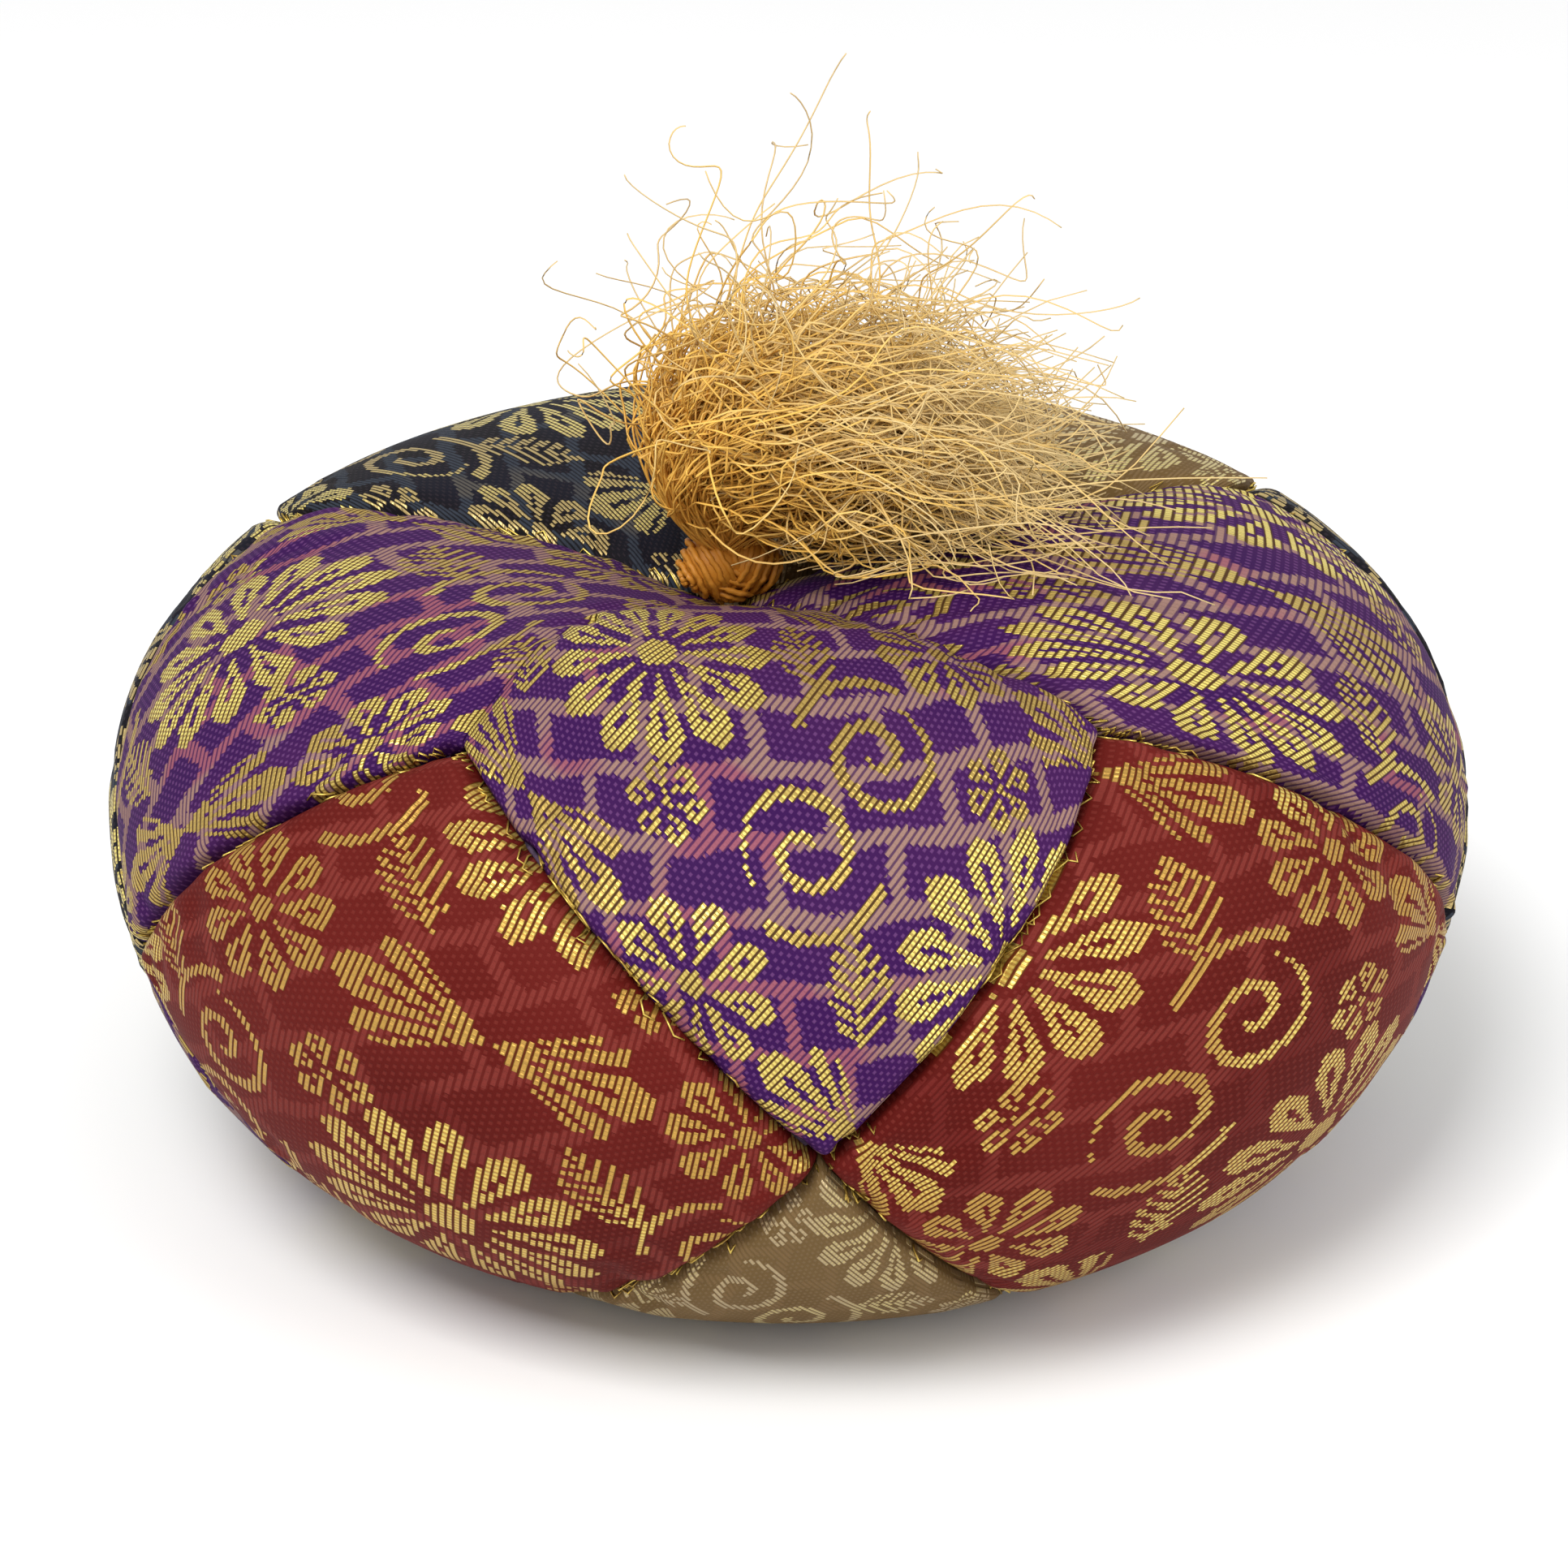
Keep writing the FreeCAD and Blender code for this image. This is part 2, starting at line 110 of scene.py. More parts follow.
CORNERS = square_corners()
PATCHES = list(CORNERS)


def cad_tree():
    points, faces = [], []
    for name in PATCHES:
        mesh = frame["nodes"][name].data
        start = len(points)
        points += [v.co / MM for v in mesh.vertices]
        faces += [[start + i for i in face.vertices] for face in mesh.polygons]
    return BVHTree.FromPolygons(points, faces)


def outside(tree, direction):
    """The CAD cushion's outermost point along a direction from its centre, in mm."""
    hit = tree.ray_cast(Vector(CENTRE + direction * 2 * CUSHION_R), Vector(-direction))[0]
    if hit is None:  # down the tie's hole: the cloth's own level is the hole's rim
        beside = direction + (0.04, 0, 0)
        rim = outside(tree, beside / np.linalg.norm(beside))
        return CENTRE + direction * abs(rim[2] - CENTRE[2])
    return np.array(hit)


def grid_points(name, tree):
    """A square's sim grid laid over the CAD form."""
    a, b, c, d = (corner - CENTRE for corner in CORNERS[name])
    at = np.linspace(0, 1, PINS + 1)
    grid = np.zeros((PINS + 1, PINS + 1, 3))
    for i, s in enumerate(at):
        for j, t in enumerate(at):
            ray = a * (1 - s) * (1 - t) + b * s * (1 - t) + c * s * t + d * (1 - s) * t
            grid[i, j] = outside(tree, ray / np.linalg.norm(ray))
    return grid


# ---- the cloth simulation ---------------------------------------------------------------------------

SIM_SCALE = 10.0  # the solver works on a cushion ten times the real size
SIM_STEPS = 30
SEAM_SINK = 0.45  # how far the stitching pulls a seam in, mm
MOST_CROWN = 3.2  # the furthest that the pressure may move the cloth, mm

# The seam between the front and left top squares lies flat and can't be made out. For each of them this is
# the side that it lies along, counted as s = 0, s = 1, t = 0, t = 1.
FLAT_SIDES = {"top_patch_front": 2, "top_patch_left": 0}


def sewn_mesh(grids):
    """One closed mesh of all the squares, their seam points shared; and each grid point's index in it."""
    keys, points, index = {}, [], {}
    for name, grid in grids.items():
        rows = np.zeros(grid.shape[:2], int)
        for i in range(PINS + 1):
            for j in range(PINS + 1):
                key = tuple(np.round(grid[i, j] * 20).astype(int))
                near = next((keys[k] for k in neighbours(key) if k in keys), None)
                if near is None:
                    near = keys[key] = len(points)
                    points.append(grid[i, j])
                rows[i, j] = near
        index[name] = rows
    return np.array(points), index


def neighbours(key):
    """A rounded point's own key, then those beside it, so that two copies of a seam point always meet."""
    x, y, z = key
    yield key
    for dx in (-1, 0, 1):
        for dy in (-1, 0, 1):
            for dz in (-1, 0, 1):
                yield (x + dx, y + dy, z + dz)


def grid_quads(rows):
    """The four corner indices of each cell of a grid of point indices."""
    return np.stack([rows[:-1, :-1], rows[1:, :-1], rows[1:, 1:], rows[:-1, 1:]], axis=-1).reshape(-1, 4)


def towards_centre(points):
    """The unit direction from each point to the cushion's centre."""
    inward = CENTRE - points
    return inward / np.linalg.norm(inward, axis=-1, keepdims=True)


def inflate(grids):
    """Blows the sewn squares up against their stitched-down seams with Blender's cloth, and applies it."""
    points, index = sewn_mesh(grids)
    seam = np.zeros(len(points), bool)
    for rows in index.values():
        for edge in (rows[0], rows[-1], rows[:, 0], rows[:, -1]):
            seam[edge] = True
    seam[index["top_patch_front"][2:-1, 0]] = False
    inward = towards_centre(points)
    points[seam] += inward[seam] * SEAM_SINK
    faces = []
    for rows in index.values():
        faces += grid_quads(rows).tolist()
    mesh = bpy.data.meshes.new("sewn")
    mesh.from_pydata((points * MM * SIM_SCALE).tolist(), [], faces)
    mesh.update()
    ball = bpy.data.objects.new("sewn", mesh)
    bpy.context.scene.collection.objects.link(ball)
    group = ball.vertex_groups.new(name="stitched")
    group.add(np.nonzero(seam)[0].tolist(), 1.0, "REPLACE")
    cloth = ball.modifiers.new("cloth", "CLOTH")
    how = cloth.settings
    how.quality = 8
    how.mass = 0.3
    how.tension_stiffness = how.compression_stiffness = 30
    how.shear_stiffness = 8
    how.bending_stiffness = 0.3
    how.tension_damping = how.compression_damping = 10
    how.air_damping = 3
    how.use_pressure = True
    how.uniform_pressure_force = 9
    how.shrink_min = -0.014
    how.vertex_group_mass = "stitched"
    how.pin_stiffness = 1
    how.effector_weights.gravity = 0
    cloth.collision_settings.use_collision = False
    cloth.point_cache.frame_end = SIM_STEPS
    for step in range(1, SIM_STEPS + 1):
        bpy.context.scene.frame_set(step)
    shown = ball.evaluated_get(bpy.context.evaluated_depsgraph_get())
    out = np.array([v.co for v in shown.data.vertices]) / MM / SIM_SCALE
    bpy.context.scene.frame_set(1)
    bpy.data.objects.remove(ball)
    moved = out - points
    far = np.linalg.norm(moved, axis=1, keepdims=True)
    out = points + moved * np.minimum(1, MOST_CROWN / np.maximum(far, 1e-9))
    return {name: out[rows] for name, rows in index.items()}


# ---- the finished squares ---------------------------------------------------------------------------


def fine_places():
    """Where the fine grid's lines fall along a side, 0 to 1: closer together towards both seams."""
    even = np.linspace(0, 1, FINE + 1)
    return even - 0.62 * np.sin(2 * math.pi * even) / (2 * math.pi)


def spline_matrix(places, count):
    """Catmull-Rom weights that read a line of count cells at each place."""
    at = places * count
    left = np.clip(np.floor(at).astype(int), 0, count - 1)
    f = at - left
    weights = (
        (-f + 2 * f**2 - f**3) / 2,
        (2 - 5 * f**2 + 3 * f**3) / 2,
        (f + 4 * f**2 - 3 * f**3) / 2,
        (-(f**2) + f**3) / 2,
    )
    matrix = np.zeros((len(places), count + 1))
    for offset, weight in zip((-1, 0, 1, 2), weights):
        for row, (cell, w) in enumerate(zip(left + offset, weight)):
            if cell < 0:
                matrix[row, 0] += 2 * w
                matrix[row, 1] -= w
            elif cell > count:
                matrix[row, count] += 2 * w
                matrix[row, count - 1] -= w
            else:
                matrix[row, cell] += w
    return matrix


PLACES = fine_places()
READ = spline_matrix(PLACES, PINS)


def normals_of(grid):
    along = np.gradient(grid, axis=0)
    across = np.gradient(grid, axis=1)
    n = np.cross(along, across)
    n /= np.maximum(np.linalg.norm(n, axis=2, keepdims=True), 1e-9)
    out = grid - CENTRE
    flip = np.sign((n * out).sum(axis=2).mean())
    return n * flip


def ripple(length, pitch, seed):
    """A smooth random wave along a line, about one crest every pitch."""
    rng = np.random.default_rng(seed)
    count = int(length / pitch) + 4
    knots = rng.normal(0, 1, count)
    return lambda x: np.interp(x / pitch, np.arange(count), knots)


def smooth(x, low, high):
    t = np.clip((x - low) / (high - low), 0, 1)
    return t * t * (3 - 2 * t)


STITCH_PITCH = 2.4  # mm between the puckers along a seam
PUCKER = 0.16  # how high a pucker stands, mm
ROLL = 0.9  # how far a square's edge turns down into its seam, mm
ROLL_WIDTH = 0.42  # how far in from the seam the turned edge starts, mm
CLOTH = 0.5  # thickness, mm


def finished_grid(sim, seed, flat=None):
    """A square's fine outer surface, its edges rolled into the seams and puckered by the stitches."""
    grid = np.einsum("ia,abk->ibk", READ, sim)
    grid = np.einsum("jb,ibk->ijk", READ, grid)
    s = PLACES[:, None] * SIDE_MM * np.ones((1, FINE + 1))
    t = PLACES[None, :] * SIDE_MM * np.ones((FINE + 1, 1))
    normal = normals_of(grid)
    inward = towards_centre(grid)
    lift = np.zeros(s.shape)
    for side, (gap, along) in enumerate(((s, t), (SIDE_MM - s, t), (t, s), (SIDE_MM - t, s))):
        if side == flat:
            continue
        wave = ripple(SIDE_MM, STITCH_PITCH, seed * 10 + side)(along)
        lift += PUCKER * wave * np.exp(-gap / 2.2) * smooth(gap, 0.0, 0.8)
        grid = grid + inward * (ROLL * np.exp(-((gap / ROLL_WIDTH) ** 1.3)))[..., None]
    grid = grid + normal * lift[..., None]
    grid[..., 2] = np.maximum(grid[..., 2], 0.0)
    return grid, s, t


def closed_patch(name, grid):
    """A closed mesh of the grid, its inner face a cloth's thickness in, and the rim between them."""
    n = grid.shape[0]
    inward = towards_centre(grid)
    inner = grid + inward * CLOTH
    points = np.concatenate([grid.reshape(-1, 3), inner.reshape(-1, 3)]) * MM
    rows = np.arange(n * n).reshape(n, n)
    quads = grid_quads(rows)
    ring = np.concatenate([rows[0, :-1], rows[:-1, -1], rows[-1, :0:-1], rows[:0:-1, 0]])
    after = np.roll(ring, -1)
    rim = np.stack([ring, after, after + n * n, ring + n * n], axis=-1)
    faces = np.concatenate([quads, quads[:, ::-1] + n * n, rim])
    middle = normals_of(grid)[n // 2, n // 2]
    a, b, c = (points[quads[len(quads) // 2, k]] for k in range(3))
    if np.dot(np.cross(b - a, c - a), middle) < 0:
        faces = faces[:, ::-1]
    mesh = bpy.data.meshes.new(name)
    mesh.from_pydata(points.tolist(), [], faces.tolist())
    mesh.update()
    mesh.validate()
    mesh.shade_smooth()
    return mesh


def add_piece(name, mesh, body, material):
    piece = bpy.data.objects.new(name, mesh)
    bpy.context.scene.collection.objects.link(piece)
    piece.data.materials.append(material)
    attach(piece, body)
    return piece


def attribute(mesh, name, values):
    """Stores one number, or three, for each point of a mesh."""
    values = np.ascontiguousarray(values, dtype=np.float32)
    kind, field = ("FLOAT", "value") if values.ndim == 1 else ("FLOAT_VECTOR", "vector")
    mesh.attributes.new(name, kind, "POINT").data.foreach_set(field, values.ravel())


# ---- brocade: the weave and its figures, as shader nodes --------------------------------------------


def srgb(red, green, blue):
    """An everyday 0-255 colour as linear light."""
    shares = (red / 255, green / 255, blue / 255)
    return tuple(((c + 0.055) / 1.055) ** 2.4 if c > 0.0404 else c / 12.92 for c in shares)


class Wire:
    """A number in a node tree: arithmetic on it adds Math nodes."""

    def __init__(self, tree, socket):
        self.tree, self.socket = tree, socket

    def math(self, operation, *others, clamp=False):
        node = self.tree.nodes.new("ShaderNodeMath")
        node.operation, node.use_clamp = operation, clamp
        for place, value in zip(node.inputs, (self, *others)):
            if isinstance(value, Wire):
                self.tree.links.new(value.socket, place)
            else:
                place.default_value = value
        return Wire(self.tree, node.outputs[0])

    def __add__(self, other):
        return self.math("ADD", other)

    def __sub__(self, other):
        return self.math("SUBTRACT", other)

    def __mul__(self, other):
        return self.math("MULTIPLY", other)

    def __truediv__(self, other):
        return self.math("DIVIDE", other)

    def __lt__(self, other):
        return self.math("LESS_THAN", other)

    def __gt__(self, other):
        return self.math("GREATER_THAN", other)

    def size(self):
        return self.math("ABSOLUTE")

    def off_whole(self):
        """How far the number is from the nearest whole number, with its sign."""
        return self - self.math("ROUND")

    def least(self, other):
        return self.math("MINIMUM", other)

    def most(self, other):
        return self.math("MAXIMUM", other)

    def inverse(self):
        return self.math("MULTIPLY_ADD", -1.0, 1.0)

    def ramp(self, low, high):
        """0 below low, 1 above high, and smooth between."""
        node = self.tree.nodes.new("ShaderNodeMapRange")
        node.interpolation_type = "SMOOTHSTEP"
        node.inputs["From Min"].default_value, node.inputs["From Max"].default_value = low, high
        self.tree.links.new(self.socket, node.inputs["Value"])
        return Wire(self.tree, node.outputs["Result"])


def figure_daisy(x, y, size, count, limit):
    """Spoon petals, each with a slit, round a disc."""
    r, angle = polar(x, y, size)
    f = (angle * (count / (2 * math.pi))).off_whole()
    petal = (f.size() < ((r - 0.15) * 0.52 + 0.09).least(0.39)) * (r < (f * f * -1.3 + 1.0)) * (r > 0.25)
    slit = (f.size() < 0.065) * (r > 0.5) * (r < 0.8)
    return (petal * slit.inverse() * (angle.size() < limit)).most(r < 0.17)


def figure_leaf(x, y, size, count, limit):
    """A fan of rounded lobes with a vein in each."""
    r, angle = polar(x, y, size)
    f = (angle * (count / (2 * math.pi))).off_whole()
    edge = (f * f * -0.9 + 1.0) * ((angle / limit) * (angle / limit) * -0.32 + 1.0)
    vein = (f.size() < 0.07) * (r > 0.22) * (r < 0.78)
    gap = (f.size() > 0.40) * (r > 0.30)
    return (r < edge) * (angle.size() < limit) * vein.most(gap).inverse()


def figure_scroll(x, y, size, count, limit):
    """A spiral line with count turns."""
    r, angle = polar(x, y, size)
    arm = (r * count - angle / (2 * math.pi)).off_whole().size() * (size / count)
    return (arm < limit) * (r < 1.0) * (r > 0.13)


def figure_arc(x, y, size, count, limit):
    """Part of a ring, count millimetres wide."""
    r, angle = polar(x, y, size)
    return (((r - 1.0) * size).size() < count / 2) * (angle.size() < limit)


def figure_sprig(x, y, size, count, limit):
    """Pairs of narrow leaflets up a stem."""
    along, out = x / size, y.size() / size
    edge = along * along * -limit + limit
    leaflets = (((along - out * 0.8) * count).off_whole().size() < 0.27) * (out < edge)
    return leaflets.most(out < 0.04) * (along.size() < 1.0)


def polar(x, y, size):
    r = (x * x + y * y).math("SQRT") / size
    return r, y.math("ARCTAN2", x)


FIGURES = {
    "daisy": figure_daisy,
    "leaf": figure_leaf,
    "scroll": figure_scroll,
    "arc": figure_arc,
    "sprig": figure_sprig,
}


def nearest_copy(place, at):
    """How far a cloth coordinate is from the nearest repeat of a place, in mm and signed."""
    return ((place - at) / REPEAT).off_whole() * REPEAT


def figure(u, v, kind, quarters, size, turn=0, count=11, limit=4.0):
    """One gold figure wherever the cloth repeats it: size in mm of cloth, turn in degrees."""
    c, s = math.cos(math.radians(turn)), math.sin(math.radians(turn))
    across = nearest_copy(u, quarters[0] * QUARTER)
    along = nearest_copy(v, quarters[1] * QUARTER)
    return FIGURES[kind](across * c + along * s, along * c - across * s, size, count, limit)


WEFT_PITCH = 0.38  # mm from one gold row to the next
WEFT_STEP = 0.30  # mm between the places where a row may start or stop
BRICK_LONG, BRICK_HIGH, BRICK_LINE = 7.0, 3.9, 0.98
BUMP_DEPTH = 0.00009

# Each cloth's first entry is how strongly the painted highlight on its gold shows round its big daisies.
CLOTHS = {
    "purple_brocade": {
        "daisy_glint": 1.0,
        "ground": srgb(58, 22, 72), "dot": srgb(100, 60, 110), "deep": srgb(50, 16, 70),
        "lattice": srgb(148, 116, 102), "lattice_other": srgb(144, 82, 94),
        "gold": srgb(182, 154, 84), "gap": srgb(72, 48, 26),
    },
    "red_brocade": {
        "daisy_glint": 0.4,
        "ground": srgb(92, 24, 20), "dot": srgb(108, 40, 34), "deep": srgb(82, 18, 14),
        "lattice": srgb(116, 46, 40), "lattice_other": srgb(100, 32, 28),
        "gold": srgb(184, 144, 72), "gap": srgb(84, 36, 14),
    },
    "navy_brocade": {
        "daisy_glint": 0.7,
        "ground": srgb(20, 17, 18), "dot": srgb(44, 38, 44), "deep": srgb(24, 24, 34),
        "lattice": srgb(52, 58, 68), "lattice_other": srgb(84, 80, 74),
        "gold": srgb(186, 164, 110), "gap": srgb(36, 30, 24),
    },
    "beige_brocade": {
        "daisy_glint": 0.2,
        "ground": srgb(106, 84, 52), "dot": srgb(122, 100, 70), "deep": srgb(98, 76, 44),
        "lattice": srgb(118, 94, 62), "lattice_other": srgb(112, 90, 60),
        "gold": srgb(176, 156, 120), "gap": srgb(112, 90, 60),
    },
}

# The gold pattern comes again every REPEAT mm, both ways. Each figure stands on a lattice of quarter
# repeats: kind, place in quarters, size in mm, and how it is turned and divided.
REPEAT = 28.0
QUARTER = REPEAT / 4
BOLT = (
    ("daisy", (0, 0), 7.8, {"turn": 20, "count": 13}),
    ("daisy", (2, 2), 5.0, {"turn": 0, "count": 9}),
    ("leaf", (2, 0), 8.6, {"turn": 90, "count": 13, "limit": 0.6}),
    ("leaf", (2, 4), 8.6, {"turn": -90, "count": 13, "limit": 0.6}),
    ("scroll", (0.5, 2), 3.5, {"turn": 120, "count": 1.5, "limit": 0.37}),
    ("scroll", (3.5, 2), 3.5, {"turn": -60, "count": 1.6, "limit": 0.37}),
    ("arc", (0.5, 2), 4.6, {"turn": 60, "count": 0.7, "limit": 0.9}),
    ("arc", (3.5, 2), 4.6, {"turn": -120, "count": 0.7, "limit": 0.9}),
    ("sprig", (1, 3), 3.4, {"turn": -135, "count": 3.5, "limit": 0.6}),
    ("sprig", (3, 1), 3.4, {"turn": -135, "count": 3.5, "limit": 0.6}),
    ("daisy", (1, 1), 2.4, {"turn": 0, "count": 6}),
    ("daisy", (3, 3), 2.4, {"turn": 30, "count": 6}),
)


def cloth_coordinates(tree):
    """The cloth's own millimetres: along the weft, across it, and the distance to the nearest seam."""
    source = tree.nodes.new("ShaderNodeAttribute")
    source.attribute_name = "cloth"
    split = tree.nodes.new("ShaderNodeSeparateXYZ")
    tree.links.new(source.outputs["Vector"], split.inputs[0])
    return [Wire(tree, split.outputs[k]) for k in range(3)], source.outputs["Vector"]


def noise(tree, vector, scale, detail=2.0):
    node = tree.nodes.new("ShaderNodeTexNoise")
    node.inputs["Scale"].default_value, node.inputs["Detail"].default_value = scale, detail
    tree.links.new(vector, node.inputs["Vector"])
    return Wire(tree, node.outputs["Fac"])


def mixed(tree, share, first, second):
    """A colour between two: each is a colour or a socket."""
    node = tree.nodes.new("ShaderNodeMix")
    node.data_type = "RGBA"
    tree.links.new(share.socket, node.inputs["Factor"])
    sockets = [i for i in node.inputs if i.type == "RGBA"]
    for place, value in zip(sockets, (first, second)):
        if isinstance(value, bpy.types.NodeSocket):
            tree.links.new(value, place)
        else:
            place.default_value = (*value, 1)
    return next(o for o in node.outputs if o.type == "RGBA")


def bricks(tree, u, v, wobble):
    """The slanting fence of the ground: courses of long bricks at 45 degrees to the weft."""
    slant = math.sqrt(0.5)
    level = ((u + v) * slant + wobble) / BRICK_HIGH
    row = level.math("FLOOR")
    shift = row.math("MODULO", 2.0) * 0.5
    place = ((u - v) * slant - wobble) / BRICK_LONG + shift
    beds = level.off_whole().size() < BRICK_LINE / BRICK_HIGH / 2
    joints = place.off_whole().size() < BRICK_LINE / BRICK_LONG / 2
    return beds.most(joints)


def brocade(slot):
    """A cloth of one colour with its woven fence and gold figures."""
    look = CLOTHS[slot]
    material = bpy.data.materials.new(f"{slot}_look")
    material.use_nodes = True
    tree = material.node_tree
    (u, v, seam), vector = cloth_coordinates(tree)
    rows = v / WEFT_PITCH
    row = rows.math("FLOOR")
    in_row = (rows - row - 0.5).size()
    stagger = (row * 0.37).math("FRACT") * WEFT_STEP
    step_u = ((u + stagger) / WEFT_STEP).math("FLOOR") * WEFT_STEP - stagger
    step_v = (row + 0.5) * WEFT_PITCH
    gold = None
    for kind, quarters, size, how in BOLT:
        mask = figure(step_u, step_v, kind, quarters, size, **how)
        gold = mask if gold is None else gold.most(mask)
    wobble = (noise(tree, vector, 0.16, 1.0) - 0.5) * 1.6
    fence = bricks(tree, step_u, step_v, wobble)
    patchy = noise(tree, vector, 0.07, 1.0)
    # Random noise that makes the gold weft lighter and darker from place to place.
    gold_flicker = noise(tree, vector, 0.9, 3.0)

    thread = in_row.ramp(0.40, 0.26)
    # Painted highlight: pale yellow glints are painted into the gold weft's colour, in beads along its rows,
    # in random patches and round each big daisy. They stand in for light caught by the metal thread.
    bead_place = u / WEFT_STEP + row * 0.5
    bead = bead_place.off_whole().size().ramp(0.42, 0.16)
    from_daisy, _ = polar(nearest_copy(u, 0), nearest_copy(v, 0), BOLT[0][2])
    shine = (patchy.ramp(0.48, 0.68) * 0.55).most(from_daisy.ramp(1.1, 0.8) * look["daisy_glint"])
    glint = (bead * thread).math("POWER", 1.3) * shine
    dots = (u / 0.5 + row * 0.5).off_whole().size().ramp(0.30, 0.16) * in_row.ramp(0.34, 0.16)

    ground = mixed(tree, patchy.ramp(0.35, 0.65), look["ground"], look["deep"])
    ground = mixed(tree, dots * 0.62, ground, look["dot"])
    line = mixed(tree, patchy.ramp(0.56, 0.62), look["lattice"], look["lattice_other"])
    ground = mixed(tree, fence * (thread * 0.72 + 0.16), ground, line)
    leaf = mixed(tree, thread * (gold_flicker * 0.5 + 0.72), look["gap"], look["gold"])
    # The painted highlight's pale yellow, mixed into the gold.
    leaf = mixed(tree, glint * 0.9, leaf, srgb(255, 240, 130))
    colour = mixed(tree, gold, ground, leaf)

    shader = tree.nodes["Principled BSDF"]
    tree.links.new(colour, shader.inputs["Base Color"])
    metal = gold * thread
    tree.links.new((metal * 0.6).socket, shader.inputs["Metallic"])
    rough = (metal * (glint * 0.16 + 0.20)).math("MULTIPLY_ADD", -1.0, 0.62)
    tree.links.new(rough.socket, shader.inputs["Roughness"])
    shader.inputs["Specular IOR Level"].default_value = 0.05
    height = (gold * thread) * (bead * 0.35 + 0.75) + dots * 0.35 + fence * thread * 0.4
    bump = tree.nodes.new("ShaderNodeBump")
    bump.inputs["Distance"].default_value = BUMP_DEPTH
    bump.inputs["Strength"].default_value = 0.8
    tree.links.new(height.socket, bump.inputs["Height"])
    tree.links.new(bump.outputs["Normal"], shader.inputs["Normal"])
    return material


def fibrous(name, dark, light, scale, metal=0.0, rough=0.85):
    """A plain fibre look that flickers between two colours."""
    material = bpy.data.materials.new(name)
    material.use_nodes = True
    tree = material.node_tree
    place = tree.nodes.new("ShaderNodeTexCoord")
    fibres = noise(tree, place.outputs["Object"], scale, 3.0)
    shader = tree.nodes["Principled BSDF"]
    tree.links.new(mixed(tree, fibres.ramp(0.35, 0.65), dark, light), shader.inputs["Base Color"])
    shader.inputs["Metallic"].default_value, shader.inputs["Roughness"].default_value = metal, rough
    bump = tree.nodes.new("ShaderNodeBump")
    bump.inputs["Distance"].default_value = 0.00003
    tree.links.new(fibres.socket, bump.inputs["Height"])
    tree.links.new(bump.outputs["Normal"], shader.inputs["Normal"])
    return material


def dress(node, material):
    for place in frame["nodes"][node].material_slots:
        place.material = material


WADDING_DEPTH = 3.2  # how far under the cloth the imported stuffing's own face is drawn, mm
FRAYS_PER_SEAM = 5  # beside those that come in two crowds
FRAY_R = 0.07  # mm
SEAM_THREADS = ("top_seam_threads", "upper_side_seam_threads", "lower_side_seam_threads", "base_seam_threads")


def wadding(sims):
    """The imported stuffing: one closed lump under the hems."""
    points, index = sewn_mesh(sims)
    inward = towards_centre(points)
    faces = []
    for rows in index.values():
        faces += grid_quads(rows).tolist()
    mesh = bpy.data.meshes.new("wadding")
    mesh.from_pydata(((points + inward * WADDING_DEPTH) * MM).tolist(), [], faces)
    mesh.update()
    material = fibrous("wadding_look", srgb(196, 186, 168), srgb(236, 230, 216), 420.0)
    piece = add_piece("wadding", mesh, "cushion", material)
    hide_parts("stuffing")


def fray_paths(grid, rng, flat):
    """Short ends of gold weft that show along a square's seams, thick in places and missing in others."""
    paths = []
    for turns, side in enumerate((0, 3, 1, 2)):
        if side == flat:
            continue
        edge = np.rot90(grid, turns)
        crowd = rng.uniform(0, FINE, 2)
        single = rng.integers(2, FINE - 4, FRAYS_PER_SEAM)
        crowded = rng.normal(crowd[:, None], 4, (2, 5)).ravel()
        starts = np.concatenate([single, crowded])
        for start in np.clip(starts, 2, FINE - 4).astype(int):
            run = int(rng.integers(1, 4))
            rows = np.array([0, 1, 2, 1]) if rng.uniform() < 0.6 else np.array([1, 2, 4, 3])
            points = np.array([edge[row, start + (run * k) // 3] for k, row in enumerate(rows)])
            proud = np.array([0.0, 0.12, 0.16, 0.0]) + 0.1 * rng.uniform(0, 1, 4)
            paths.append(points - towards_centre(points) * proud[:, None])
    return paths


def make_frays(grids):
    rng = np.random.default_rng(3)
    paths = []
    for name, grid in grids.items():
        paths += fray_paths(grid, rng, FLAT_SIDES.get(name))
    paths = np.array(paths)
    dark, light = srgb(150, 118, 48), srgb(236, 206, 100)
    material = fibrous("loose_weft_look", dark, light, 900.0, metal=0.6, rough=0.35)
    mesh = tubes("loose_weft", paths, FRAY_R, 5, np.zeros(len(paths)), taper=0.7)
    add_piece("loose_weft", mesh, "cushion", material)


# How a square was cut from its bolt: where a big daisy falls, as shares of its side along s and t, and
# the turn of its weft in degrees. The left top square carries on the front one's pattern.
CUTS = {
    "top_patch_front": ((0.5, 1.0), 0),
    "top_patch_left": ((-1.0, 0.5), 90),
    "top_patch_right": ((0.75, 0.25), -45),
    "side_patch_front_left": ((1.0, 0.0), 30),
    "side_patch_front_right": ((0.5, 0.0), 0),
}


def cut(number, name):
    """The cut of a square; one that the list leaves out is shifted and turned by its number."""
    plain = ((number * 0.62 % 1, number * 0.38 % 1), 45 * number)
    return CUTS.get(name, plain)


def on_grain(place, turn):
    """A place in a square's s and t, as millimetres along and across a weft that is turned."""
    c, s = math.cos(math.radians(turn)), math.sin(math.radians(turn))
    return place[0] * c + place[1] * s, place[1] * c - place[0] * s


def bolt_coordinates(number, name, s, t):
    """Where a square's points lie on the bolt; squares that don't share a pattern come from far apart."""
    (daisy_s, daisy_t), turn = cut(number, name)
    along, across = on_grain((s - daisy_s * SIDE_MM, t - daisy_t * SIDE_MM), turn)
    further = 0 if name in FLAT_SIDES else number * 4 * REPEAT
    return along + further, across


